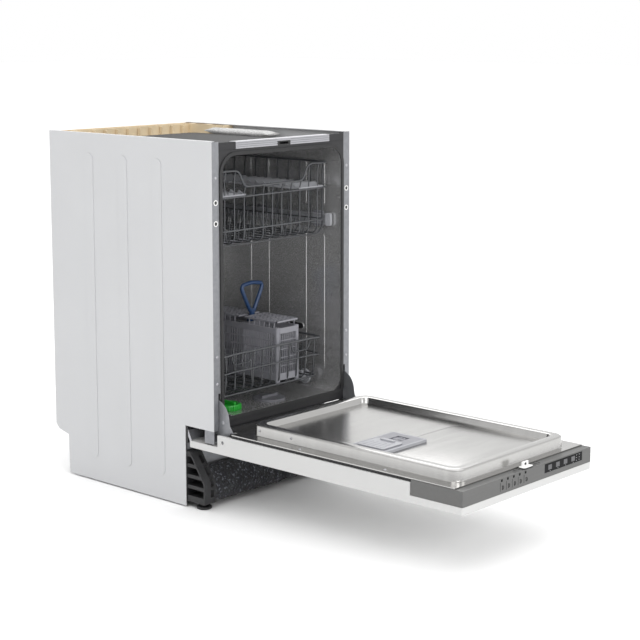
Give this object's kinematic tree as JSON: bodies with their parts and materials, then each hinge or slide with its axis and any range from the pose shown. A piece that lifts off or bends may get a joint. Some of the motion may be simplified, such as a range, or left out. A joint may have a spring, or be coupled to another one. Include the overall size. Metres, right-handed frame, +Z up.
{
  "type": "built-in dishwasher",
  "caption": "Slimline built-in dishwasher with a drop-down door, stainless tub, sliding wire racks on rails and wheels, folding cup shelves, spray arms and cutlery basket.",
  "frame": {"origin": "bottom centre of the whole appliance with its door open level and both racks in", "axes": "+Z up, the door opens towards -Y, +X to the right of someone facing the door"},
  "size_m": [0.448, 1.212, 0.815],
  "materials": {
    "white_steel": "satin white enamel on sheet steel",
    "white_door_board": "satin white door skin over a light core",
    "galvanised_steel": "dull galvanised sheet",
    "stainless_steel": "fine brushed stainless sheet",
    "silver_metal": "satin grooved bar",
    "coated_wire": "dark grey nylon-coated wire",
    "black_plastic": "matt black moulding",
    "black_gloss": "gloss black window",
    "rubber": "black rubber",
    "grey_plastic": "mid grey moulding",
    "light_plastic": "light grey moulding",
    "white_plastic": "white moulding",
    "beige_plastic": "beige moulding",
    "green_plastic": "green moulding",
    "blue_plastic": "blue moulding",
    "felt": "speckled recycled felt"
  },
  "bodies": {
    "cabinet": {"side_panel_left": "white_steel", "side_panel_right": "white_steel", "front_post_left": "galvanised_steel", "front_post_right": "galvanised_steel", "back_panel": "galvanised_steel", "rear_brace": "beige_plastic", "tub": "stainless_steel", "tub_gasket": "rubber", "front_crossbar": "silver_metal", "door_lock": "black_plastic", "base_tray": "black_plastic", "foot_front_left": "black_plastic", "foot_front_right": "black_plastic", "foot_rear": "black_plastic", "base_front_sheet": "galvanised_steel", "insulation_pad": "felt", "water_softener": "light_plastic", "sump": "grey_plastic", "circulation_pump": "black_plastic", "drain_pump": "black_plastic", "spray_feed_pipe": "light_plastic"},
    "door": {"door_outer_panel": "white_door_board", "door_inner_pan": "stainless_steel", "control_panel": "stainless_steel", "display_window": "black_gloss", "dispenser_body": "grey_plastic"},
    "dispenser_lid": {"dispenser_lid": "light_plastic"},
    "upper_rails": {"upper_rail_left": "light_plastic", "upper_rail_right": "light_plastic"},
    "upper_rack": {"upper_rack_basket": "coated_wire"},
    "upper_spray_arm": {"upper_spray_arm": "grey_plastic"},
    "lower_rack": {"lower_rack_floor": "coated_wire", "lower_rack_front": "coated_wire", "lower_rack_back": "coated_wire", "lower_rack_side_left": "coated_wire", "lower_rack_side_right": "coated_wire", "plate_tines": "coated_wire", "cutlery_basket": "grey_plastic", "basket_handle": "blue_plastic"},
    "basket_lid_front": {"basket_lid_front": "grey_plastic"},
    "basket_lid_rear": {"basket_lid_rear": "grey_plastic"},
    "lower_spray_arm": {"lower_spray_arm": "grey_plastic"},
    "salt_cap": {"salt_cap": "green_plastic"},
    "filter_cup": {"filter_cup": "grey_plastic"},
    "button_1": {"button_1": "light_plastic"},
    "button_2": {"button_2": "light_plastic"},
    "button_3": {"button_3": "light_plastic"},
    "button_4": {"button_4": "light_plastic"},
    "cup_shelf_left_front": {"cup_shelf_left_front": "grey_plastic"},
    "cup_shelf_left_rear": {"cup_shelf_left_rear": "grey_plastic"},
    "cup_shelf_right_front": {"cup_shelf_right_front": "grey_plastic"},
    "cup_shelf_right_rear": {"cup_shelf_right_rear": "grey_plastic"},
    "wheel_left_1": {"wheel_left_1": "light_plastic"},
    "wheel_left_2": {"wheel_left_2": "light_plastic"},
    "wheel_left_3": {"wheel_left_3": "light_plastic"},
    "wheel_left_4": {"wheel_left_4": "light_plastic"},
    "wheel_right_1": {"wheel_right_1": "light_plastic"},
    "wheel_right_2": {"wheel_right_2": "light_plastic"},
    "wheel_right_3": {"wheel_right_3": "light_plastic"},
    "wheel_right_4": {"wheel_right_4": "light_plastic"}
  },
  "joints": [
    {"name": "door_hinge", "type": "hinge", "parent": "cabinet", "child": "door", "pos_m": [0, 0.041, 0.166], "axis": [1, 0, 0], "range_deg": [-90, 0]},
    {"name": "upper_rack_slide", "type": "slide", "parent": "cabinet", "child": "upper_rack", "axis": [0, -1, 0], "range_m": [0, 0.492]},
    {"name": "upper_rails_slide", "type": "slide", "parent": "cabinet", "child": "upper_rails", "axis": [0, -1, 0], "range_m": [0, 0.185]},
    {"name": "lower_rack_slide", "type": "slide", "parent": "cabinet", "child": "lower_rack", "axis": [0, -1, 0], "range_m": [0, 0.525]},
    {"name": "upper_arm_spin", "type": "hinge", "parent": "upper_rack", "child": "upper_spray_arm", "pos_m": [0, 0.321, 0.55], "axis": [0, 0, 1], "continuous": true},
    {"name": "lower_arm_spin", "type": "hinge", "parent": "cabinet", "child": "lower_spray_arm", "pos_m": [0, 0.341, 0.22], "axis": [0, 0, 1], "continuous": true},
    {"name": "dispenser_lid_slide", "type": "slide", "parent": "door", "child": "dispenser_lid", "axis": [1, 0, 0], "range_m": [0, 0.058]},
    {"name": "salt_cap_turn", "type": "hinge", "parent": "cabinet", "child": "salt_cap", "pos_m": [-0.062, 0.184, 0.196], "axis": [0, 0, 1], "range_deg": [0, 90]},
    {"name": "filter_turn", "type": "hinge", "parent": "cabinet", "child": "filter_cup", "pos_m": [0.075, 0.186, 0.19], "axis": [0, 0, 1], "range_deg": [0, 90]},
    {"name": "basket_lid_front_hinge", "type": "hinge", "parent": "lower_rack", "child": "basket_lid_front", "pos_m": [0.026, 0.152, 0.3863], "axis": [0, -1, 0], "range_deg": [0, 100]},
    {"name": "basket_lid_rear_hinge", "type": "hinge", "parent": "lower_rack", "child": "basket_lid_rear", "pos_m": [0.026, 0.305, 0.3863], "axis": [0, -1, 0], "range_deg": [0, 100]},
    {"name": "cup_shelf_left_front_fold", "type": "hinge", "parent": "upper_rack", "child": "cup_shelf_left_front", "pos_m": [-0.171, 0.206, 0.69], "axis": [0, -1, 0], "range_deg": [0, 80]},
    {"name": "cup_shelf_left_rear_fold", "type": "hinge", "parent": "upper_rack", "child": "cup_shelf_left_rear", "pos_m": [-0.171, 0.432, 0.69], "axis": [0, -1, 0], "range_deg": [0, 80]},
    {"name": "cup_shelf_right_front_fold", "type": "hinge", "parent": "upper_rack", "child": "cup_shelf_right_front", "pos_m": [0.171, 0.206, 0.69], "axis": [0, 1, 0], "range_deg": [0, 80]},
    {"name": "cup_shelf_right_rear_fold", "type": "hinge", "parent": "upper_rack", "child": "cup_shelf_right_rear", "pos_m": [0.171, 0.432, 0.69], "axis": [0, 1, 0], "range_deg": [0, 80]},
    {"name": "button_1_press", "type": "slide", "parent": "door", "child": "button_1", "axis": [0, 1, 0], "range_m": [0, 0.0015], "stiffness_N_per_m": 300},
    {"name": "button_2_press", "type": "slide", "parent": "door", "child": "button_2", "axis": [0, 1, 0], "range_m": [0, 0.0015], "stiffness_N_per_m": 300},
    {"name": "button_3_press", "type": "slide", "parent": "door", "child": "button_3", "axis": [0, 1, 0], "range_m": [0, 0.0015], "stiffness_N_per_m": 300},
    {"name": "button_4_press", "type": "slide", "parent": "door", "child": "button_4", "axis": [0, 1, 0], "range_m": [0, 0.0015], "stiffness_N_per_m": 300},
    {"name": "wheel_left_1_spin", "type": "hinge", "parent": "lower_rack", "child": "wheel_left_1", "pos_m": [-0.1785, 0.166, 0.2304], "axis": [1, 0, 0], "continuous": true},
    {"name": "wheel_left_2_spin", "type": "hinge", "parent": "lower_rack", "child": "wheel_left_2", "pos_m": [-0.1785, 0.271, 0.2304], "axis": [1, 0, 0], "continuous": true},
    {"name": "wheel_left_3_spin", "type": "hinge", "parent": "lower_rack", "child": "wheel_left_3", "pos_m": [-0.1785, 0.436, 0.2304], "axis": [1, 0, 0], "continuous": true},
    {"name": "wheel_left_4_spin", "type": "hinge", "parent": "lower_rack", "child": "wheel_left_4", "pos_m": [-0.1785, 0.541, 0.2304], "axis": [1, 0, 0], "continuous": true},
    {"name": "wheel_right_1_spin", "type": "hinge", "parent": "lower_rack", "child": "wheel_right_1", "pos_m": [0.1785, 0.166, 0.2304], "axis": [1, 0, 0], "continuous": true},
    {"name": "wheel_right_2_spin", "type": "hinge", "parent": "lower_rack", "child": "wheel_right_2", "pos_m": [0.1785, 0.271, 0.2304], "axis": [1, 0, 0], "continuous": true},
    {"name": "wheel_right_3_spin", "type": "hinge", "parent": "lower_rack", "child": "wheel_right_3", "pos_m": [0.1785, 0.436, 0.2304], "axis": [1, 0, 0], "continuous": true},
    {"name": "wheel_right_4_spin", "type": "hinge", "parent": "lower_rack", "child": "wheel_right_4", "pos_m": [0.1785, 0.541, 0.2304], "axis": [1, 0, 0], "continuous": true}
  ],
  "couplings": [
    {"joint": "upper_rails_slide", "follows": "upper_rack_slide", "ratio": 0.374},
    {"joint": "wheel_left_1_spin", "follows": "lower_rack_slide", "rad_per_m": 55.556},
    {"joint": "wheel_left_2_spin", "follows": "lower_rack_slide", "rad_per_m": 55.556},
    {"joint": "wheel_left_3_spin", "follows": "lower_rack_slide", "rad_per_m": 55.556},
    {"joint": "wheel_left_4_spin", "follows": "lower_rack_slide", "rad_per_m": 55.556},
    {"joint": "wheel_right_1_spin", "follows": "lower_rack_slide", "rad_per_m": 55.556},
    {"joint": "wheel_right_2_spin", "follows": "lower_rack_slide", "rad_per_m": 55.556},
    {"joint": "wheel_right_3_spin", "follows": "lower_rack_slide", "rad_per_m": 55.556},
    {"joint": "wheel_right_4_spin", "follows": "lower_rack_slide", "rad_per_m": 55.556}
  ]
}
